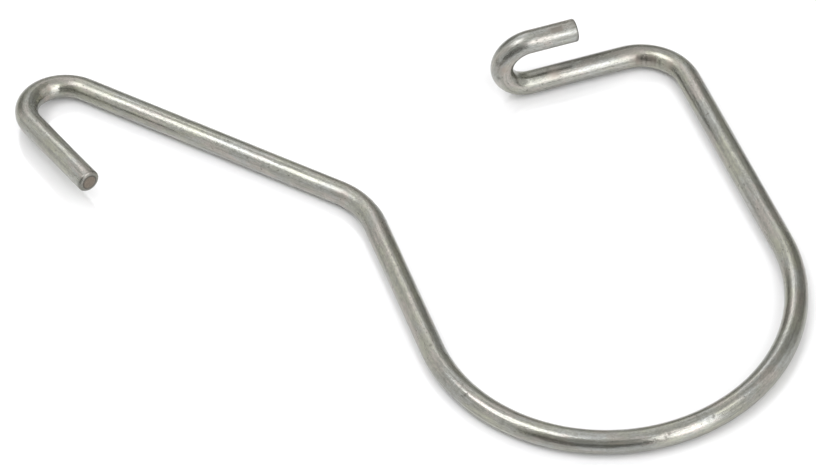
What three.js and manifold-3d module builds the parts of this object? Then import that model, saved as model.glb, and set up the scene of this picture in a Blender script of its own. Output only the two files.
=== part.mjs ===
// Meat hook bent from one length of round steel wire.
// Units are millimetres, +Z up. The hook lies on a flat surface: the origin is on that surface,
// under the middle of the hook's outline, with +X along its longest side.
//
// The wire runs tip to tip: return hook, long arm, wide half-round bend, short arm, and a second
// return hook that stands up out of the plane of the wide bend.

import * as THREE from 'three';
import { mergeVertices } from 'three/addons/utils/BufferGeometryUtils.js';
import Module from 'manifold-3d';

// Wire
const WIRE_DIAMETER = 6.35;
const WIRE_RADIUS = WIRE_DIAMETER / 2;

// Rounded rim of each cut end: its length along the wire, and how far it rounds in from the wire's
// surface, which leaves a smaller flat face
const LONG_ARM_RIM = { depth: 0.7, inset: 1.2 };
const SHORT_ARM_RIM = { depth: 0.6, inset: 0.8 };

// Wide bend that hangs over a rail; angles in degrees, radii to the middle of the wire
const LOOP_RADIUS = 49;
const LOOP_TURN = 182;
const LOOP_START = -164; // heading of the loop's first end, seen from its centre

// Each arm is laid out from the loop outwards. A bend turns away from the loop's centre on the long
// arm and towards it on the short arm; roll first tips the plane of the bend up out of the loop's.
const LONG_ARM = [
  { straight: 46 },
  { radius: 21.5, turn: 41, roll: 0 },
  { straight: 79.5 },
  { radius: 10.5, turn: 155, roll: 9 },
  { straight: 28.5 },
];
const SHORT_ARM = [
  { straight: 63 },
  { radius: 14, turn: 86, roll: 0 },
  { straight: 26.5 },
  { radius: 8, turn: 180, roll: 90 },
  { straight: 13.5 },
];

// Facets
const SECTION_SIDES = 24;
const BEND_STEP = 7.5; // degrees of bend between two rings of the wire
const RIM_STEPS = 3;

const UP = new THREE.Vector3(0, 0, 1);

/** A curve that is read ring by ring, so straights need no rings between their ends. */
class WirePath extends THREE.Curve {
  constructor(stations) {
    super();
    this.stations = stations;
  }

  stationAt(u) {
    return this.stations[Math.round(u * (this.stations.length - 1))];
  }

  getPointAt(u, target = new THREE.Vector3()) {
    return target.copy(this.stationAt(u).point);
  }

  getTangentAt(u, target = new THREE.Vector3()) {
    return target.copy(this.stationAt(u).heading);
  }
}

/** Rings along one bend: the wire turns from its heading towards `side`. The start is left out. */
function bendStations(start, side, radius, turn) {
  const stepCount = Math.ceil(turn / BEND_STEP);
  const centre = start.point.clone().addScaledVector(side, radius);
  const stations = [];
  for (let step = 1; step <= stepCount; step += 1) {
    const angle = THREE.MathUtils.degToRad((turn * step) / stepCount);
    const point = centre.clone();
    point.addScaledVector(side, -radius * Math.cos(angle));
    point.addScaledVector(start.heading, radius * Math.sin(angle));
    const heading = start.heading.clone().multiplyScalar(Math.cos(angle));
    heading.addScaledVector(side, Math.sin(angle));
    stations.push({ point, heading });
  }
  return stations;
}

/** Rings along an arm, from where it leaves the loop to its tip. The start is left out. */
function armStations(start, runs) {
  const stations = [];
  const side = new THREE.Vector3().crossVectors(UP, start.heading);
  let last = start;
  for (const run of runs) {
    if (run.straight) {
      const point = last.point.clone().addScaledVector(last.heading, run.straight);
      last = { point, heading: last.heading.clone() };
      stations.push(last);
    } else {
      side.applyAxisAngle(last.heading, THREE.MathUtils.degToRad(run.roll));
      const axis = new THREE.Vector3().crossVectors(last.heading, side);
      stations.push(...bendStations(last, side, run.radius, run.turn));
      last = stations[stations.length - 1];
      side.applyAxisAngle(axis, THREE.MathUtils.degToRad(run.turn));
    }
  }
  return stations;
}

/** Every ring of the wire, from the long arm's tip to the short arm's tip. */
function wireStations() {
  const startAngle = THREE.MathUtils.degToRad(LOOP_START);
  const outward = new THREE.Vector3(Math.cos(startAngle), Math.sin(startAngle), 0);
  const heading = new THREE.Vector3().crossVectors(UP, outward);
  const loopStart = { point: outward.clone().multiplyScalar(LOOP_RADIUS), heading };
  const loop = bendStations(loopStart, outward.clone().negate(), LOOP_RADIUS, LOOP_TURN);

  const backwards = { point: loopStart.point, heading: heading.clone().negate() };
  const longArm = armStations(backwards, LONG_ARM).reverse();
  for (const station of longArm) {
    station.heading = station.heading.clone().negate();
  }
  return [...longArm, loopStart, ...loop, ...armStations(loop[loop.length - 1], SHORT_ARM)];
}

/** The wire as one round bar with square-cut ends. */
function barGeometry(stations) {
  const section = new THREE.Shape();
  section.absarc(0, 0, WIRE_RADIUS, 0, 2 * Math.PI, false);
  return new THREE.ExtrudeGeometry(section, {
    extrudePath: new WirePath(stations),
    steps: stations.length - 1,
    curveSegments: SECTION_SIDES / 2,
    bevelEnabled: false,
  });
}

/** A ring-shaped cutter that rounds the rim of a square-cut end. `out` points off the end. */
function rimCutter(end, out, rim) {
  const clearance = 1;
  const lead = 0.15; // the cutter starts this far off the wire, so it meets the wire at a clear angle
  const outerRadius = WIRE_RADIUS + clearance;
  const profile = [
    new THREE.Vector2(outerRadius, -rim.depth),
    new THREE.Vector2(outerRadius, clearance),
    new THREE.Vector2(WIRE_RADIUS - rim.inset, clearance),
  ];
  for (let step = RIM_STEPS; step >= 0; step -= 1) {
    const angle = (step / RIM_STEPS) * (Math.PI / 2);
    const reach = WIRE_RADIUS + lead - (rim.inset + lead) * (1 - Math.cos(angle));
    profile.push(new THREE.Vector2(reach, rim.depth * (Math.sin(angle) - 1)));
  }
  profile.push(profile[0].clone());
  const cutter = new THREE.LatheGeometry(profile, SECTION_SIDES);
  const turn = new THREE.Quaternion().setFromUnitVectors(new THREE.Vector3(0, 1, 0), out);
  cutter.applyQuaternion(turn);
  cutter.translate(end.x, end.y, end.z);
  return cutter;
}

/** A closed geometry as a solid that can be cut. */
function toSolid(wasm, geometry) {
  const bare = geometry.clone();
  bare.deleteAttribute('normal');
  bare.deleteAttribute('uv');
  const merged = mergeVertices(bare, 1e-4);
  const mesh = new wasm.Mesh({
    numProp: 3,
    vertProperties: new Float32Array(merged.attributes.position.array),
    triVerts: new Uint32Array(merged.index.array),
  });
  mesh.merge();
  return new wasm.Manifold(mesh);
}

/** A cut solid as a geometry again. */
function toGeometry(solid) {
  const mesh = solid.getMesh();
  const geometry = new THREE.BufferGeometry();
  geometry.setAttribute('position', new THREE.BufferAttribute(mesh.vertProperties, 3));
  geometry.setIndex(new THREE.BufferAttribute(mesh.triVerts, 1));
  geometry.computeVertexNormals();
  return geometry;
}

/** Moves a geometry so that it lies on z = 0 with its outline's middle over the origin. */
function layOnSurface(geometry) {
  geometry.computeBoundingBox();
  const middle = geometry.boundingBox.getCenter(new THREE.Vector3());
  geometry.translate(-middle.x, -middle.y, -geometry.boundingBox.min.z);
}

const wasm = await Module();
wasm.setup();

const stations = wireStations();
const firstEnd = stations[0];
const lastEnd = stations[stations.length - 1];
const solid = toSolid(wasm, barGeometry(stations))
  .subtract(toSolid(wasm, rimCutter(firstEnd.point, firstEnd.heading.clone().negate(), LONG_ARM_RIM)))
  .subtract(toSolid(wasm, rimCutter(lastEnd.point, lastEnd.heading, SHORT_ARM_RIM)));
const wireGeometry = toGeometry(solid);
layOnSurface(wireGeometry);

const platedSteel = new THREE.MeshStandardMaterial({
  color: 0xb9bab3,
  roughness: 0.32,
  metalness: 1,
});

const hookWire = new THREE.Mesh(wireGeometry, platedSteel);
hookWire.name = 'hook_wire';

const meatHook = new THREE.Group();
meatHook.add(hookWire);

export default meatHook;
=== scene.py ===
# Meat hook: one length of plated steel wire bent by hand tools, lying on a pale studio table.
# Everything is in metres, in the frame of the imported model.

import math
import random

import bmesh
import bpy
import numpy as np
from mathutils import Matrix, Vector, noise


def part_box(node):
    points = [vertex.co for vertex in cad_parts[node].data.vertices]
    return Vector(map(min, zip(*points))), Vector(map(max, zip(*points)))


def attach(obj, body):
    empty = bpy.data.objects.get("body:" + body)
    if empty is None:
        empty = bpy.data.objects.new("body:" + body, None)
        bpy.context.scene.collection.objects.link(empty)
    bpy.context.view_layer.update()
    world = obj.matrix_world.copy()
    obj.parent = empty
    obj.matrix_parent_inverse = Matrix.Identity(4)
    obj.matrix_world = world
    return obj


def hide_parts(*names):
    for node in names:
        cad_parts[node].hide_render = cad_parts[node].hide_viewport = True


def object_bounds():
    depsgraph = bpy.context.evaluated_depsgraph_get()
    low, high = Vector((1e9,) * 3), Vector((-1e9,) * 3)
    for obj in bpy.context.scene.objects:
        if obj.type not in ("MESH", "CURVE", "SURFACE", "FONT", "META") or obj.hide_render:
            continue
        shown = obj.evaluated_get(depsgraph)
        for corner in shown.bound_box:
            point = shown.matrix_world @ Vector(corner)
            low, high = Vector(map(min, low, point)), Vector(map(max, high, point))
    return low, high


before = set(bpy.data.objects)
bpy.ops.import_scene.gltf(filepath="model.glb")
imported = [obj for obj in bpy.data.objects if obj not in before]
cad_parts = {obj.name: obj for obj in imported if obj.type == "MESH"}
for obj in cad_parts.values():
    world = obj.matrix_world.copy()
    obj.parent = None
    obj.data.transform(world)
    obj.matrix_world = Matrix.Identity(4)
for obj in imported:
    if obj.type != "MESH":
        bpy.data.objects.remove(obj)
cad_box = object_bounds()

UP = Vector((0.0, 0.0, 1.0))

# Wire, as bent: radii are to the middle of the wire, turns and rolls in degrees
WIRE_RADIUS = 0.003175
LOOP_RADIUS = 0.049
LOOP_TURN = 182.0
LOOP_START = -164.0
LONG_ARM = [
    {"straight": 0.046},
    {"radius": 0.0215, "turn": 41.0, "roll": 0.0},
    {"straight": 0.0795},
    {"radius": 0.0105, "turn": 155.0, "roll": 9.0},
    {"straight": 0.0285},
]
SHORT_ARM = [
    {"straight": 0.063},
    {"radius": 0.014, "turn": 86.0, "roll": 0.0},
    {"straight": 0.0265},
    {"radius": 0.008, "turn": 180.0, "roll": 90.0},
    {"straight": 0.0135},
]

# Sheared ends: the long arm's is rounded over further than the short arm's
LONG_ARM_RIM = {"depth": 0.0007, "inset": 0.0012}
SHORT_ARM_RIM = {"depth": 0.0006, "inset": 0.0008}
RIM_STEPS = 8
FACE_CROWN = 0.0003  # how far the sheared face bulges in its middle
FACE_STEPS = 8
POLE_RADIUS = 0.00015

# Rings of the wire
SECTION_SIDES = 64
RING_GAP = 0.0004
RING_SLACK = 0.02 * RING_GAP  # how far off a point may be and still count as on a ring
DOUBLES_GAP = 0.000001

# Unevenness left by drawing, straightening and bending
WAVE_DEPTH = 0.000022
WAVE_PITCH = (0.0018, 0.0018, 0.018)  # across, across and along the wire
DIMPLE_DEPTH = 0.000022
DIMPLE_PITCH = (0.0030, 0.0030, 0.0045)
BEND_PINCH = 0.035  # share of its thickness that the wire loses in its tightest bend
TIGHTEST_RADIUS = 0.008

# Small handling marks, scattered all over: each takes its sizes from these ranges
SMALL_MARKS = 150
SMALL_MARK_SEED = 4
SMALL_MARK_DEPTHS = (0.00001, 0.00004)
SMALL_MARK_HALF_LENGTHS = (0.0004, 0.0030)
SMALL_MARK_HALF_WIDTHS = (0.0003, 0.0007)

# Kinds of tool mark, and a band of painted shade. The tint says how far the mark leaves the plating
# scuffed, blackened and dulled; the painted shade band only darkens it.
NICK = {"depth": 0.00006, "half_length": 0.0004, "half_width": 0.0005, "tint": (0.0, 0.8, 0.0)}
SEAM = {"depth": 0.00002, "half_length": 0.0003, "half_width": 0.0020, "tint": (0.0, 0.0, 0.3)}
DENT = {"depth": 0.00008, "half_length": 0.0012, "half_width": 0.0012, "tint": (0.0, 0.0, 0.0)}
SCORE = {"depth": 0.00005, "half_length": 0.0045, "half_width": 0.0004, "tint": (0.0, 0.0, 0.2)}
GRIP = {"depth": 0.00009, "half_length": 0.0016, "half_width": 0.0019, "tint": (1.0, 0.0, 0.0)}
# Painted shade: no depth, only a dark band laid along the upper side of the short straight under the
# return hook
PAINTED_SHADE_BAND = {"depth": 0.0, "half_length": 0.0160, "half_width": 0.0016, "tint": (0.0, 0.0, 1.0)}
CHATTER = {"depth": 0.00004, "half_length": 0.0004, "half_width": 0.0013, "tint": (0.0, 0.0, 0.8)}

# Where the marks are: distance from the long arm's tip, the side that the mark faces, and its kind
TOOL_MARKS = [
    (0.0190, (-0.51, -0.26, 0.82), SCORE),
    (0.0120, (-0.30, -0.30, 0.90), DENT),
    (0.0300, (-0.60, -0.20, 0.75), SEAM),
    (0.0415, (0.55, -0.50, 0.60), GRIP),
    (0.0432, (0.58, -0.70, -0.10), GRIP),
    (0.0452, (0.45, -0.60, 0.66), GRIP),
    (0.0485, (0.20, -0.80, 0.50), DENT),
    (0.0880, (0.20, 0.45, 0.85), DENT),
    (0.0940, (0.25, 0.50, 0.80), SCORE),
    (0.1390, (-0.20, -0.75, 0.60), GRIP),
    (0.1480, (-0.40, -0.60, 0.60), DENT),
    (0.1650, (0.60, 0.10, 0.75), SCORE),
    (0.1990, (-0.20, -0.10, 0.95), NICK),
    (0.2060, (-0.50, -0.60, 0.60), SEAM),
    (0.2120, (-0.60, -0.50, 0.60), SCORE),
    (0.2150, (-0.30, -0.40, 0.85), SEAM),
    (0.2175, (-0.46, -0.38, 0.80), NICK),
    (0.2300, (-0.40, -0.75, 0.50), SEAM),
    (0.2420, (-0.15, -0.80, 0.58), DENT),
    (0.2500, (-0.08, -0.70, 0.70), SCORE),
    (0.2600, (0.05, -0.68, 0.72), SCORE),
    (0.2715, (0.16, -0.72, 0.67), NICK),
    (0.2725, (0.16, -0.60, 0.76), NICK),
    (0.2813, (0.16, -0.35, 0.92), SEAM),
    (0.2835, (0.20, -0.55, 0.80), SEAM),
    (0.2850, (0.25, -0.45, 0.85), NICK),
    (0.3300, (0.40, 0.10, 0.90), SCORE),
    (0.3700, (0.50, 0.20, 0.85), SCORE),
    (0.3851, (0.09, 0.03, 1.00), DENT),
    (0.4230, (-0.55, -0.50, 0.65), GRIP),
    (0.4290, (-0.30, -0.80, 0.45), GRIP),
    (0.4340, (-0.06, -0.90, 0.40), GRIP),
    (0.4262, (-0.35, -0.85, 0.40), CHATTER),
    (0.4279, (-0.30, -0.85, 0.42), CHATTER),
    (0.4293, (-0.24, -0.85, 0.38), CHATTER),
    (0.4310, (-0.18, -0.88, 0.44), CHATTER),
    (0.4327, (-0.12, -0.88, 0.40), CHATTER),
    (0.4344, (-0.06, -0.90, 0.36), CHATTER),
    # Painted shade along the upper side of the short straight
    (0.4480, (-0.14, 0.12, 0.99), PAINTED_SHADE_BAND),
    (0.4580, (0.02, -0.42, 0.90), GRIP),
    (0.4763, (-0.32, -0.95, -0.02), NICK),
    (0.4791, (-0.06, -0.99, 0.10), GRIP),
]

# The bare spot where the short arm's return hook hung while it was plated
BARE_SPOT = {
    "along": 0.4966,
    "facing": (0.08, -0.28, 0.95),
    "half_length": 0.0014,
    "half_width": 0.0007,
}
BARE_SPOT_SHARPNESS = 3.0  # how steeply it ends

# The dark ring round each bare face
CUT_RING = 0.0005

# How far and how much the shear has dulled the plating behind each rim; painted shade on top of that
# darkens the rim's lower side more and its upper side less
RIM_STAIN_AND_SHADE_REACH = 0.0007
RIM_STAIN_AND_SHADE = 0.65
RIM_SHADE_SPARED_ON_TOP = 0.40

# How far from a bend's ends and from the tips the tools have scuffed the plating
HANDLED_REACH = 0.009


# ---------------------------------------------------------------------------
# Where the wire runs
# ---------------------------------------------------------------------------


class Run:
    """One straight or bent stretch of the wire, from `start` along `heading`."""

    def __init__(self, start, heading, length, side=None, radius=0.0, turn=0.0):
        self.start = start
        self.heading = heading
        self.length = length
        self.side = side
        self.radius = radius
        self.turn = turn
        if side is not None:
            self.centre = start + side * radius
            self.axis = heading.cross(side)

    def turned(self, vector, angle):
        """`vector` after the wire has turned by `angle` along this bend."""
        return Matrix.Rotation(angle, 3, self.axis) @ vector

    def end(self):
        """Point and heading at the far end."""
        if self.side is None:
            return self.start + self.heading * self.length, self.heading
        point = self.centre - self.turned(self.side, self.turn) * self.radius
        return point, self.turned(self.heading, self.turn)

    def backwards(self):
        """The same stretch, walked from its far end."""
        point, heading = self.end()
        if self.side is None:
            return Run(point, -heading, self.length)
        side = self.turned(self.side, self.turn)
        return Run(point, -heading, self.length, side, self.radius, self.turn)

    def moved(self, offset):
        start = self.start + offset
        return Run(start, self.heading, self.length, self.side, self.radius, self.turn)


def bent_run(start, heading, side, radius, turn_degrees):
    turn = math.radians(turn_degrees)
    return Run(start, heading, radius * turn, side, radius, turn)


def arm_runs(start, heading, plan):
    """The runs of an arm, from where it leaves the loop to its tip."""
    runs = []
    side = UP.cross(heading)
    for step in plan:
        if "straight" in step:
            run = Run(start, heading, step["straight"])
        else:
            side = Matrix.Rotation(math.radians(step["roll"]), 3, heading) @ side
            run = bent_run(start, heading, side, step["radius"], step["turn"])
            side = run.turned(side, run.turn)
        runs.append(run)
        start, heading = run.end()
    return runs


def wire_runs():
    """Every run from the long arm's tip to the short arm's tip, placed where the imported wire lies."""
    angle = math.radians(LOOP_START)
    outward = Vector((math.cos(angle), math.sin(angle), 0.0))
    loop = bent_run(outward * LOOP_RADIUS, UP.cross(outward), -outward, LOOP_RADIUS, LOOP_TURN)
    long_arm = arm_runs(loop.start, -loop.heading, LONG_ARM)
    short_arm = arm_runs(*loop.end(), SHORT_ARM)
    runs = [run.backwards() for run in reversed(long_arm)] + [loop] + short_arm

    points = [p for run in runs for p in centre_points(run)]
    low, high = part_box("hook_wire")
    middle_x = (min(p.x for p in points) + max(p.x for p in points)) / 2
    middle_y = (min(p.y for p in points) + max(p.y for p in points)) / 2
    lowest = min(p.z for p in points) - WIRE_RADIUS
    across_x = (low.x + high.x) / 2 - middle_x
    across_y = (low.y + high.y) / 2 - middle_y
    offset = Vector((across_x, across_y, low.z - lowest))
    return [run.moved(offset) for run in runs]


def centre_points(run, count=60):
    """Points along the middle of the wire."""
    if run.side is None:
        return [run.start, run.end()[0]]
    turns = [run.turn * i / count for i in range(count + 1)]
    return [run.centre - run.turned(run.side, turn) * run.radius for turn in turns]


# ---------------------------------------------------------------------------
# The wire's mesh
# ---------------------------------------------------------------------------


def start_edit(piece, select_mode="VERT"):
    bpy.ops.object.select_all(action="DESELECT")
    piece.select_set(True)
    bpy.context.view_layer.objects.active = piece
    bpy.ops.object.mode_set(mode="EDIT")
    bpy.ops.mesh.select_mode(type=select_mode)


def pick_ring(piece, centre, heading, radius):
    """Selects the ring of vertices that lies square across `centre`."""
    mesh = bmesh.from_edit_mesh(piece.data)
    bpy.ops.mesh.select_all(action="DESELECT")
    for vert in mesh.verts:
        away = vert.co - centre
        in_plane = abs(away.dot(heading)) < RING_SLACK
        if in_plane and abs(away.length - radius) < RING_SLACK:
            vert.select = True
    mesh.select_flush_mode()
    bmesh.update_edit_mesh(piece.data)


def pick_lengthwise_edges(piece):
    """Swaps the selected end ring for the edges that lead to it."""
    mesh = bmesh.from_edit_mesh(piece.data)
    leading = [edge for edge in mesh.edges if edge.verts[0].select != edge.verts[1].select]
    bpy.ops.mesh.select_all(action="DESELECT")
    for edge in leading:
        edge.select = True
    bmesh.update_edit_mesh(piece.data)


def end_profile(rim):
    """Radius and set-back of each ring from the middle of a cut face out to the full wire."""
    face_radius = WIRE_RADIUS - rim["inset"]
    rings = []
    for i in range(1, FACE_STEPS + 1):
        radius = POLE_RADIUS + (face_radius - POLE_RADIUS) * i / FACE_STEPS
        rings.append((radius, FACE_CROWN * (radius / face_radius) ** 2))
    for i in range(1, RIM_STEPS + 1):
        angle = math.pi / 2 * i / RIM_STEPS
        radius = face_radius + rim["inset"] * math.sin(angle)
        rings.append((radius, FACE_CROWN + rim["depth"] * (1 - math.cos(angle))))
    return rings


def next_ring(from_centre, step, scale):
    """Extrudes the selected ring by `step` and scales it about its own middle."""
    bpy.ops.mesh.extrude_region_move(TRANSFORM_OT_translate={"value": step})
    middle = from_centre + step
    bpy.ops.transform.resize(value=(scale, scale, scale), center_override=middle)
    return middle


def shape_first_end(tip, heading, rim):
    """Grows a small disc at the tip out over the sheared face and its rounded rim."""
    centre, last_radius, last_depth = tip, POLE_RADIUS, 0.0
    for radius, depth in end_profile(rim):
        centre = next_ring(centre, heading * (depth - last_depth), radius / last_radius)
        last_radius, last_depth = radius, depth


def shape_last_end(tip, heading, rim):
    """Closes the wire over the second tip, from the full ring in to the middle of the face."""
    rings = [(POLE_RADIUS, 0.0)] + end_profile(rim)
    rings.reverse()
    last_radius, last_depth = rings[0]
    centre = tip - heading * last_depth
    for radius, depth in rings[1:]:
        centre = next_ring(centre, heading * (last_depth - depth), radius / last_radius)
        last_radius, last_depth = radius, depth
    bpy.ops.mesh.edge_face_add()
    bpy.ops.mesh.poke()


def draw_straight(piece, start, heading, length):
    """Extrudes the end ring along a straight, then cuts the stretch into short rings."""
    bpy.ops.mesh.extrude_region_move(TRANSFORM_OT_translate={"value": heading * length})
    pick_lengthwise_edges(piece)
    bpy.ops.mesh.subdivide(number_cuts=math.ceil(length / RING_GAP) - 1)
    pick_ring(piece, start + heading * length, heading, WIRE_RADIUS)


def draw_bend(run):
    """Spins the end ring round a bend. The operator turns clockwise about its axis."""
    outer_length = (run.radius + WIRE_RADIUS) * run.turn
    steps = math.ceil(outer_length / RING_GAP)
    bpy.ops.mesh.spin(steps=steps, angle=run.turn, center=run.centre, axis=-run.axis)


def make_wire(runs):
    """The whole hook: a small disc at the first tip, drawn out run by run to the second tip."""
    tip, heading = runs[0].start, runs[0].heading
    bpy.ops.object.select_all(action="DESELECT")
    bpy.ops.mesh.primitive_circle_add(
        vertices=SECTION_SIDES,
        radius=POLE_RADIUS,
        fill_type="TRIFAN",
        location=tip,
        rotation=heading.to_track_quat("Z", "Y").to_euler(),
    )
    wire = bpy.context.object
    wire.name = "drawn_wire"
    bpy.ops.object.transform_apply(location=True, rotation=True, scale=True)

    start_edit(wire)
    pick_ring(wire, tip, heading, POLE_RADIUS)
    shape_first_end(tip, heading, LONG_ARM_RIM)
    for run in runs:
        if run.side is not None:
            draw_bend(run)
            continue
        first = FACE_CROWN + LONG_ARM_RIM["depth"] if run is runs[0] else 0.0
        last = FACE_CROWN + SHORT_ARM_RIM["depth"] if run is runs[-1] else 0.0
        start = run.start + run.heading * first
        draw_straight(wire, start, run.heading, run.length - first - last)
    shape_last_end(*runs[-1].end(), SHORT_ARM_RIM)

    bpy.ops.mesh.select_all(action="SELECT")
    bpy.ops.mesh.remove_doubles(threshold=DOUBLES_GAP)
    bpy.ops.mesh.normals_make_consistent(inside=False)
    bpy.ops.object.mode_set(mode="OBJECT")
    bpy.ops.object.shade_smooth()
    return wire


def points_of(mesh):
    values = np.empty(len(mesh.vertices) * 3)
    mesh.vertices.foreach_get("co", values)
    return values.reshape(-1, 3)


def normals_of(mesh):
    values = np.empty(len(mesh.vertices) * 3)
    mesh.vertex_normals.foreach_get("vector", values)
    return values.reshape(-1, 3)


def store(mesh, name, vectors):
    """Keeps three numbers for each point, for the finish to read."""
    layer = mesh.attributes.new(name, "FLOAT_VECTOR", "POINT")
    layer.data.foreach_set("vector", vectors.astype(np.float32).ravel())


def bar_places(points, runs):
    """Where each point was on the straight bar before bending: across, across and along."""
    bar = np.zeros_like(points)
    nearest = np.full(len(points), np.inf)
    across = runs[0].heading.orthogonal().normalized()
    along = 0.0
    for run in runs:
        start, heading = np.array(run.start), np.array(run.heading)
        first, second = np.array(across), np.array(run.heading.cross(across))
        if run.side is None:
            travelled = np.clip((points - start) @ heading, 0.0, run.length)
            flat = points - travelled[:, None] * heading
        else:
            centre, side, axis = np.array(run.centre), np.array(run.side), np.array(run.axis)
            arm = points - centre
            angle = np.clip(np.arctan2(arm @ heading, -(arm @ side)), 0.0, run.turn)
            travelled = angle * run.radius
            cos, sin = np.cos(angle)[:, None], np.sin(angle)[:, None]
            height = (arm @ axis)[:, None] * axis
            flat = centre + height + (arm - height) * cos - np.cross(axis, arm) * sin
        offset = flat - start
        distance = np.linalg.norm(offset, axis=1)
        closer = distance < nearest
        nearest[closer] = distance[closer]
        beyond = offset @ heading
        places = np.stack([offset @ first, offset @ second, along + travelled + beyond], 1)
        bar[closer] = places[closer]
        along += run.length
        if run.side is not None:
            across = run.turned(across, run.turn)
    return bar


def unevenness(bar, pitch):
    """Smooth noise in the bar's own directions, so that it follows the wire round its bends."""
    cells = bar / np.array(pitch)
    return np.array([noise.noise(cell) for cell in cells])


def angle_from(normals, facing):
    """Angle between each point's outward direction and a given one."""
    facing = np.array(facing) / np.linalg.norm(facing)
    return np.arccos(np.clip(normals @ facing, -1.0, 1.0))


def mark_shape(bar, normals, along, facing, half_length, half_width):
    """1 in the middle of a mark, falling to 0 round it."""
    angle = angle_from(normals, facing)
    lengthwise = (bar[:, 2] - along) / half_length
    sideways = angle * WIRE_RADIUS / half_width
    return np.exp(-(lengthwise**2) - sideways**2)


def bend_pinch(bar, normals, runs):
    """How far the wire thins, on the inside and outside of each bend."""
    pinch = np.zeros(len(bar))
    along = 0.0
    for run in runs:
        if run.side is not None:
            share = (bar[:, 2] - along) / run.length
            inside = np.clip(share * (1 - share) * 4, 0.0, 1.0)
            tightness = BEND_PINCH * WIRE_RADIUS * min(1.0, TIGHTEST_RADIUS / run.radius)
            out_of_plane = normals @ np.array(run.axis)
            pinch += inside * tightness * (1 - out_of_plane**2)
        along += run.length
    return pinch


def tool_marks(bar, normals):
    """Depth and tint that the bending tools have left at each point, with the painted shade band in the
    tint's third share.
    """
    depth = np.zeros(len(bar))
    marks_and_shade = np.zeros_like(bar)
    for along, facing, kind in TOOL_MARKS:
        half_length, half_width = kind["half_length"], kind["half_width"]
        shape = mark_shape(bar, normals, along, facing, half_length, half_width)
        depth += kind["depth"] * shape
        marks_and_shade = np.maximum(marks_and_shade, shape[:, None] * np.array(kind["tint"]))
    return depth, marks_and_shade


def small_marks(bar, normals):
    """Depth of the small handling marks, each centred on a point picked by chance."""
    depth = np.zeros(len(bar))
    chance = random.Random(SMALL_MARK_SEED)
    for _ in range(SMALL_MARKS):
        spot = chance.randrange(len(bar))
        mark_depth = chance.uniform(*SMALL_MARK_DEPTHS)
        half_length = chance.uniform(*SMALL_MARK_HALF_LENGTHS)
        half_width = chance.uniform(*SMALL_MARK_HALF_WIDTHS)
        shape = mark_shape(bar, normals, bar[spot, 2], normals[spot], half_length, half_width)
        depth += mark_depth * shape
    return depth


def rim_stain_and_shade(bar, normals, runs):
    """How much the shear has dulled the plating behind the rim of each end, with painted shade that
    makes the lower side darker.
    """
    rim_stain_and_shade_amounts = np.zeros(len(bar))
    # Painted shade: heavier on the rim's lower side, lighter on its upper side
    amount = RIM_STAIN_AND_SHADE - RIM_SHADE_SPARED_ON_TOP * normals[:, 2]
    for rim, distance in ends_of(bar, runs):
        reach = rim["depth"] + FACE_CROWN + RIM_STAIN_AND_SHADE_REACH
        nearness = np.clip((reach - distance) / RIM_STAIN_AND_SHADE_REACH, 0.0, 1.0)
        rim_stain_and_shade_amounts = np.maximum(rim_stain_and_shade_amounts, nearness * amount)
    return rim_stain_and_shade_amounts


def wear_the_wire(wire, runs):
    """Sinks the marks of the drawing die and the bending tools into the wire's surface."""
    mesh = wire.data
    points, normals = points_of(mesh), normals_of(mesh)
    bar = bar_places(points, runs)
    tool_depth, marks_and_shade = tool_marks(bar, normals)
    depth = WAVE_DEPTH * unevenness(bar, WAVE_PITCH)
    depth += DIMPLE_DEPTH * unevenness(bar, DIMPLE_PITCH)
    depth += bend_pinch(bar, normals, runs) + tool_depth + small_marks(bar, normals)
    moved = points - normals * depth[:, None]
    mesh.vertices.foreach_set("co", moved.ravel())
    mesh.update()
    # The rims' dulled plating, with painted shade on their lower sides, joins the third tint share
    marks_and_shade[:, 2] = np.maximum(marks_and_shade[:, 2], rim_stain_and_shade(bar, normals, runs))
    store(mesh, "bar", bar)
    store(mesh, "wear", wear_amounts(bar, normals, runs))
    store(mesh, "marks_and_shade", marks_and_shade)


def ends_of(bar, runs):
    """The rim of each cut end, and every point's distance from that end."""
    length = sum(run.length for run in runs)
    return [(LONG_ARM_RIM, bar[:, 2]), (SHORT_ARM_RIM, length - bar[:, 2])]


def wear_amounts(bar, normals, runs):
    """Bare sheared faces, the bare plating spot, and how much the tools have handled each place."""
    from_middle = np.hypot(bar[:, 0], bar[:, 1])
    amounts = np.zeros_like(bar)
    for rim, distance in ends_of(bar, runs):
        face_radius = WIRE_RADIUS - rim["inset"]
        on_end = distance < rim["depth"] + FACE_CROWN
        face = np.clip((face_radius + CUT_RING / 2 - from_middle) / CUT_RING, 0.0, 1.0)
        amounts[:, 0] = np.maximum(amounts[:, 0], np.where(on_end, face, 0.0))
    amounts[:, 1] = bare_spot_amount(bar, normals)
    along = 0.0
    bend_ends = [0.0]
    for run in runs:
        along += run.length
        bend_ends.append(along)
    for place in bend_ends:
        handled = np.exp(-(((bar[:, 2] - place) / HANDLED_REACH) ** 2))
        amounts[:, 2] = np.maximum(amounts[:, 2], handled)
    return amounts


def bare_spot_amount(bar, normals):
    """1 on the bare plating spot, 0 off it."""
    spot = BARE_SPOT
    lengthwise = np.abs(bar[:, 2] - spot["along"]) / spot["half_length"]
    sideways = angle_from(normals, spot["facing"]) * WIRE_RADIUS / spot["half_width"]
    inside = 1.0 - np.maximum(lengthwise, sideways)
    return np.clip(1.0 + BARE_SPOT_SHARPNESS * inside, 0.0, 1.0)


# ---------------------------------------------------------------------------
# Finishes
# ---------------------------------------------------------------------------


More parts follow.
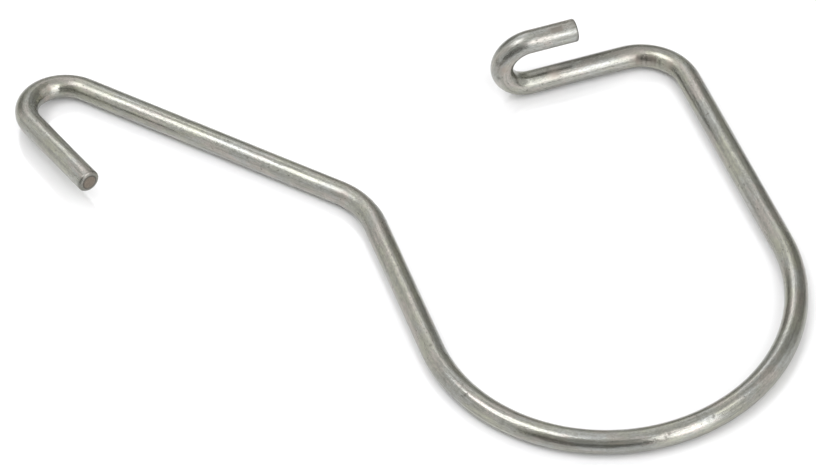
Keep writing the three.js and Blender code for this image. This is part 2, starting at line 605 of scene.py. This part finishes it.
class Level:
    """A shader value that Python sums and products can be written with."""

    def __init__(self, finish, socket):
        self.finish = finish
        self.socket = socket

    def maths(self, operation, first, second):
        settings = {"operation": operation}
        return self.finish.node("ShaderNodeMath", settings, {0: first, 1: second})

    def __add__(self, other):
        return self.maths("ADD", self, other)

    def __radd__(self, other):
        return self.maths("ADD", other, self)

    def __sub__(self, other):
        return self.maths("SUBTRACT", self, other)

    def __rsub__(self, other):
        return self.maths("SUBTRACT", other, self)

    def __mul__(self, other):
        return self.maths("MULTIPLY", self, other)

    def __rmul__(self, other):
        return self.maths("MULTIPLY", other, self)


class Finish:
    """A material and its node tree."""

    def __init__(self, name):
        self.material = bpy.data.materials.new(name)
        self.material.use_nodes = True
        self.tree = self.material.node_tree
        self.tree.nodes.clear()

    def node(self, kind, settings, sockets, output=0):
        """Adds one node: settings first, then values or links for its sockets."""
        made = self.tree.nodes.new(kind)
        for name, value in settings.items():
            setattr(made, name, value)
        for name, value in sockets.items():
            if isinstance(value, Level):
                self.tree.links.new(value.socket, made.inputs[name])
            else:
                made.inputs[name].default_value = value
        return Level(self, made.outputs[output]) if made.outputs else None

    def attribute(self, name):
        settings = {"attribute_type": "GEOMETRY", "attribute_name": name}
        return self.node("ShaderNodeAttribute", settings, {}, "Vector")

    def part(self, vector, axis):
        """One number of a vector."""
        return self.node("ShaderNodeSeparateXYZ", {}, {0: vector}, axis)

    def largest(self, first, second):
        return self.node("ShaderNodeMath", {"operation": "MAXIMUM"}, {0: first, 1: second})

    def stretched(self, vector, factors):
        return self.node("ShaderNodeVectorMath", {"operation": "MULTIPLY"}, {0: vector, 1: factors})

    def noise(self, vector, detail, roughness):
        sockets = {"Vector": vector, "Scale": 1.0, "Detail": detail, "Roughness": roughness}
        return self.node("ShaderNodeTexNoise", {"noise_dimensions": "3D"}, sockets)

    def between(self, value, low, high):
        """A smooth step from 0 at `low` to 1 at `high`, which may be the smaller of the two."""
        settings = {"interpolation_type": "SMOOTHSTEP"}
        sockets = {"Value": value, "From Min": low, "From Max": high, "To Min": 0.0, "To Max": 1.0}
        return self.node("ShaderNodeMapRange", settings, sockets)

    def mixed(self, factor, first, second):
        """Two colours mixed by a level."""
        settings = {"data_type": "RGBA"}
        return self.node("ShaderNodeMix", settings, {0: factor, 6: first, 7: second}, 2)

    def output(self, shader):
        self.node("ShaderNodeOutputMaterial", {}, {"Surface": shader})
        return self.material


# Paint and metal colours
PLATING_WARM = (0.396, 0.396, 0.320, 1.0)
PLATING_COOL = (0.382, 0.390, 0.376, 1.0)
PLATING_ROSE = (0.418, 0.378, 0.346, 1.0)
PLATING_DEEP = (0.243, 0.243, 0.217, 1.0)
SCUFFED = (0.345, 0.306, 0.268, 1.0)
# Stains left by tools and shears, also used as painted shade on the short straight's top and the rims'
# lower sides
STAIN_AND_PAINTED_SHADE = (0.125, 0.123, 0.108, 1.0)
RUBBED = (0.225, 0.207, 0.182, 1.0)
BARE_STEEL = (0.165, 0.138, 0.110, 1.0)
BARE_STEEL_PALE = (0.240, 0.206, 0.168, 1.0)
CUT_EDGE = (0.085, 0.080, 0.068, 1.0)
TABLE_PAINT = (0.93, 0.93, 0.93, 1.0)
CARD_BLUE_SHARE = 0.95  # blue in the cards' paint, as a share of its red and green

# Features in a metre of the straight bar: across, across and along it
LINES = (3000.0, 3000.0, 120.0)
STREAKS = (1150.0, 1150.0, 55.0)
MOTTLE = (620.0, 620.0, 330.0)
GRAIN = (2500.0, 2500.0, 1250.0)
CAST = (190.0, 190.0, 80.0)
BLUSH = (260.0, 260.0, 110.0)
SPOTS = (1700.0, 1700.0, 1100.0)
SHEAR = (800.0, 5200.0, 0.0)

# How far each feature dulls the plating
STREAK_DULLING = 0.38
MOTTLE_DULLING = 0.20
LINE_DULLING = 0.26
GRAIN_DULLING = 0.34
BLUSH_AMOUNT = 0.9
PIT_DARKNESS = 0.6

# Roughness of clean plating, and what is added to it
PLATING_ROUGHNESS = 0.11
MOTTLE_ROUGHNESS = 0.09
STREAK_ROUGHNESS = 0.10
PIT_ROUGHNESS = 0.15
HANDLED_ROUGHNESS = 0.08
FACE_ROUGHNESS = 0.30
SPOT_ROUGHNESS = 0.16
GRIP_ROUGHNESS = 0.10

# How much of its metal shine a bare sheared face has lost
FACE_METAL_LOST = 0.25

# Relief, in millimetres
RELIEF_UNIT = 0.001
STREAK_RELIEF = 0.030
LINE_RELIEF = 0.012
GRAIN_RELIEF = 0.026
MOTTLE_RELIEF = 0.018
HANDLED_RELIEF = 0.026
PIT_RELIEF = 0.012
SHEAR_RELIEF = 0.05
SPOT_RELIEF = 0.02


def plated_wire_finish():
    """Bright plating over drawn steel: lines along the wire, satin grain, pits, bare ends, tool stains
    and painted shade.
    """
    finish = Finish("plated_wire")
    bar = finish.attribute("bar")
    wear = finish.attribute("wear")
    marks_and_shade = finish.attribute("marks_and_shade")
    bare_face, bare_spot, handled = (finish.part(wear, axis) for axis in "XYZ")
    grip, nick, stain_and_shade = (finish.part(marks_and_shade, axis) for axis in "XYZ")

    lines = finish.noise(finish.stretched(bar, LINES), detail=3.0, roughness=0.6)
    streaks = finish.noise(finish.stretched(bar, STREAKS), detail=2.0, roughness=0.5)
    mottle = finish.noise(finish.stretched(bar, MOTTLE), detail=4.0, roughness=0.65)
    grain = finish.noise(finish.stretched(bar, GRAIN), detail=2.0, roughness=0.6)
    cast = finish.noise(finish.stretched(bar, CAST), detail=4.0, roughness=0.6)
    blush = finish.noise(finish.stretched(bar, BLUSH), detail=3.0, roughness=0.6)
    spots = finish.noise(finish.stretched(bar, SPOTS), detail=1.0, roughness=0.5)
    shear = finish.noise(finish.stretched(bar, SHEAR), detail=3.0, roughness=0.6)
    pits = finish.between(spots, 0.69, 0.75)

    plating = finish.mixed(finish.between(cast, 0.38, 0.62), PLATING_WARM, PLATING_COOL)
    rosy = BLUSH_AMOUNT * finish.between(blush, 0.47, 0.62)
    plating = finish.mixed(rosy, plating, PLATING_ROSE)
    dulled = STREAK_DULLING * finish.between(streaks, 0.62, 0.36)
    dulled = dulled + MOTTLE_DULLING * finish.between(mottle, 0.62, 0.36)
    dulled = dulled + LINE_DULLING * finish.between(lines, 0.60, 0.40)
    dulled = dulled + GRAIN_DULLING * finish.between(grain, 0.62, 0.38)
    colour = finish.mixed(dulled, plating, PLATING_DEEP)
    # Darkens by the third share: tool and rim stains, and painted shade
    colour = finish.mixed(stain_and_shade * finish.between(grain, 0.22, 0.50), colour, STAIN_AND_PAINTED_SHADE)
    colour = finish.mixed(grip * finish.between(mottle, 0.30, 0.60), colour, SCUFFED)
    colour = finish.mixed(finish.largest(PIT_DARKNESS * pits, nick), colour, CUT_EDGE)
    colour = finish.mixed(bare_spot, colour, RUBBED)
    bare = finish.mixed(finish.between(shear, 0.35, 0.65), BARE_STEEL, BARE_STEEL_PALE)
    colour = finish.mixed(bare_face, colour, bare)
    edge = bare_face * (1 - bare_face) * 4
    colour = finish.mixed(edge, colour, CUT_EDGE)

    roughness = PLATING_ROUGHNESS + MOTTLE_ROUGHNESS * mottle + STREAK_ROUGHNESS * streaks
    roughness = roughness + PIT_ROUGHNESS * pits + HANDLED_ROUGHNESS * handled
    roughness = roughness + FACE_ROUGHNESS * bare_face + SPOT_ROUGHNESS * bare_spot
    roughness = roughness + GRIP_ROUGHNESS * grip
    height = STREAK_RELIEF * streaks + LINE_RELIEF * lines + GRAIN_RELIEF * grain
    height = height + (MOTTLE_RELIEF + HANDLED_RELIEF * handled) * mottle
    height = height - PIT_RELIEF * pits + SHEAR_RELIEF * bare_face * shear
    height = height - SPOT_RELIEF * bare_spot
    normal = finish.node(
        "ShaderNodeBump",
        {},
        {"Strength": 1.0, "Distance": RELIEF_UNIT, "Height": height},
    )
    metal = 1 - FACE_METAL_LOST * bare_face
    shader = finish.node(
        "ShaderNodeBsdfPrincipled",
        {},
        {"Base Color": colour, "Metallic": metal, "Roughness": roughness, "Normal": normal},
    )
    return finish.output(shader)


def table_finish():
    """A plain pale table top with a slight gloss, which mirrors the front lamp in the wire."""
    finish = Finish("pale_table")
    shader = finish.node(
        "ShaderNodeBsdfPrincipled",
        {},
        {"Base Color": TABLE_PAINT, "Roughness": 0.12, "Specular IOR Level": 1.0},
    )
    return finish.output(shader)


def card_finish(name, grey):
    """The dull, slightly warm paint of a studio card that shades the wire's reflections."""
    finish = Finish(name)
    paint = (grey, grey, grey * CARD_BLUE_SHARE, 1.0)
    shader = finish.node(
        "ShaderNodeBsdfPrincipled",
        {},
        {"Base Color": paint, "Roughness": 1.0, "Specular IOR Level": 0.0},
    )
    return finish.output(shader)


# ---------------------------------------------------------------------------
# Studio
# ---------------------------------------------------------------------------

TABLE_SIZE = 12.0

# Camera: where it stands round the hook, how far it leans, its lens, and how far behind the
# hook's middle it aims
CAMERA_ELEVATION = math.radians(48.88)
CAMERA_AZIMUTH = math.radians(-0.14)
CAMERA_ROLL = math.radians(-3.83)
CAMERA_DISTANCE = 1.6711
CAMERA_LENS = 278.65
CAMERA_FRAME = 36.0
CAMERA_REACH = 50.0
AIM_BEHIND_MIDDLE = 0.00767

ROOM_LIGHT = 1.09
LAMP_COLOUR = (1.0, 1.0, 1.045)

# Lamps: azimuth, elevation, distance, width, height and radiance
SOFTBOXES = {
    "overhead_softbox": (-86.0, 67.0, 1.6, 0.90, 0.80, 2.75),
    "front_softbox": (36.0, 31.5, 2.0, 0.94, 1.18, 2.8),
    "low_front_glow": (36.0, 7.5, 2.0, 0.94, 0.48, 1.35),
    "right_glow": (60.0, 56.0, 2.4, 1.4, 0.75, 1.2),
    "back_glow": (-164.0, 45.0, 2.4, 0.9, 0.5, 1.45),
}

# Greys of the cards' paints
CARD_PAINTS = {"black_card": 0.27, "grey_card": 0.64, "dark_card": 0.42}

# Cards: azimuth from and to, lowest and highest elevation, distance and paint
CARDS = {
    "front_card": (-45.0, 17.0, 3.0, 29.0, 2.2, "black_card"),
    "front_screen": (-50.0, 19.0, 0.0, 58.0, 2.5, "grey_card"),
    "right_card": (112.0, 148.0, 6.0, 42.0, 2.2, "dark_card"),
    "right_screen": (98.0, 165.0, 0.0, 60.0, 2.5, "grey_card"),
    "back_screen": (160.0, 235.0, 0.0, 28.0, 2.6, "grey_card"),
    "left_card": (-152.0, -131.0, 1.0, 24.0, 2.2, "dark_card"),
}


def direction(azimuth, elevation):
    """Unit vector towards a place in the studio: azimuth 0 is the camera's side, 90 its right."""
    a, e = math.radians(azimuth), math.radians(elevation)
    return Vector((math.sin(a) * math.cos(e), -math.cos(a) * math.cos(e), math.sin(e)))


def make_camera():
    low, high = cad_box
    aim = (low + high) / 2
    aim.y += AIM_BEHIND_MIDDLE
    aim.z = low.z + WIRE_RADIUS
    lean = Matrix.Rotation(CAMERA_AZIMUTH, 3, "Z")
    back = lean @ Vector((0.0, -math.cos(CAMERA_ELEVATION), math.sin(CAMERA_ELEVATION)))
    level_up = lean @ Vector((0.0, math.sin(CAMERA_ELEVATION), math.cos(CAMERA_ELEVATION)))
    level_right = lean @ Vector((1.0, 0.0, 0.0))
    right = level_right * math.cos(CAMERA_ROLL) + level_up * math.sin(CAMERA_ROLL)
    up = level_up * math.cos(CAMERA_ROLL) - level_right * math.sin(CAMERA_ROLL)

    data = bpy.data.cameras.new("studio_camera")
    data.sensor_width = CAMERA_FRAME
    data.sensor_fit = "HORIZONTAL"
    data.lens = CAMERA_LENS
    data.clip_end = CAMERA_REACH
    camera = bpy.data.objects.new("studio_camera", data)
    turn = Matrix((right, up, back)).transposed()
    camera.matrix_world = Matrix.Translation(aim + back * CAMERA_DISTANCE) @ turn.to_4x4()
    bpy.context.collection.objects.link(camera)
    bpy.context.scene.camera = camera


def make_table():
    bpy.ops.object.select_all(action="DESELECT")
    bpy.ops.mesh.primitive_plane_add(size=TABLE_SIZE, location=(0.0, 0.0, cad_box[0].z))
    table = bpy.context.object
    table.name = "pale_table"
    table.data.materials.append(table_finish())


def softbox(name, azimuth, elevation, distance, width, height, radiance):
    """A soft rectangular lamp that faces the hook."""
    data = bpy.data.lights.new(name, "AREA")
    data.shape = "RECTANGLE"
    data.size = width
    data.size_y = height
    data.energy = radiance * math.pi * width * height
    data.color = LAMP_COLOUR
    lamp = bpy.data.objects.new(name, data)
    towards = direction(azimuth, elevation)
    lamp.location = towards * distance
    lamp.rotation_euler = towards.to_track_quat("Z", "Y").to_euler()
    bpy.context.collection.objects.link(lamp)


def standing_card(name, from_azimuth, to_azimuth, low_elevation, high_elevation, distance, finish):
    """An upright card at the edge of the studio, hidden from the camera, that the wire mirrors."""
    azimuth = (from_azimuth + to_azimuth) / 2
    width = 2 * distance * math.tan(math.radians(to_azimuth - from_azimuth) / 2)
    low = distance * math.tan(math.radians(low_elevation))
    high = distance * math.tan(math.radians(high_elevation))
    outward = direction(azimuth, 0.0)
    place = outward * distance
    place.z = (low + high) / 2
    bpy.ops.object.select_all(action="DESELECT")
    turn = outward.to_track_quat("Z", "Y").to_euler()
    bpy.ops.mesh.primitive_plane_add(size=1.0, location=place, rotation=turn)
    card = bpy.context.object
    card.name = name
    card.scale = (width, high - low, 1.0)
    card.data.materials.append(finish)
    card.visible_camera = False


def make_studio():
    scene = bpy.context.scene
    scene.view_settings.view_transform = "Standard"
    world = bpy.data.worlds.new("soft_room")
    world.use_nodes = True
    room = world.node_tree.nodes["Background"]
    room.inputs["Color"].default_value = (1.0, 1.0, 1.0, 1.0)
    room.inputs["Strength"].default_value = ROOM_LIGHT
    scene.world = world

    for name, place_and_size in SOFTBOXES.items():
        softbox(name, *place_and_size)
    paints = {name: card_finish(name, grey) for name, grey in CARD_PAINTS.items()}
    for name, (*place_and_size, paint) in CARDS.items():
        standing_card(name, *place_and_size, paints[paint])


# ---------------------------------------------------------------------------
# Scene
# ---------------------------------------------------------------------------

runs = wire_runs()
wire = make_wire(runs)
wear_the_wire(wire, runs)
wire.data.materials.append(plated_wire_finish())
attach(wire, "root")
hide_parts("hook_wire")

make_camera()
make_table()
make_studio()
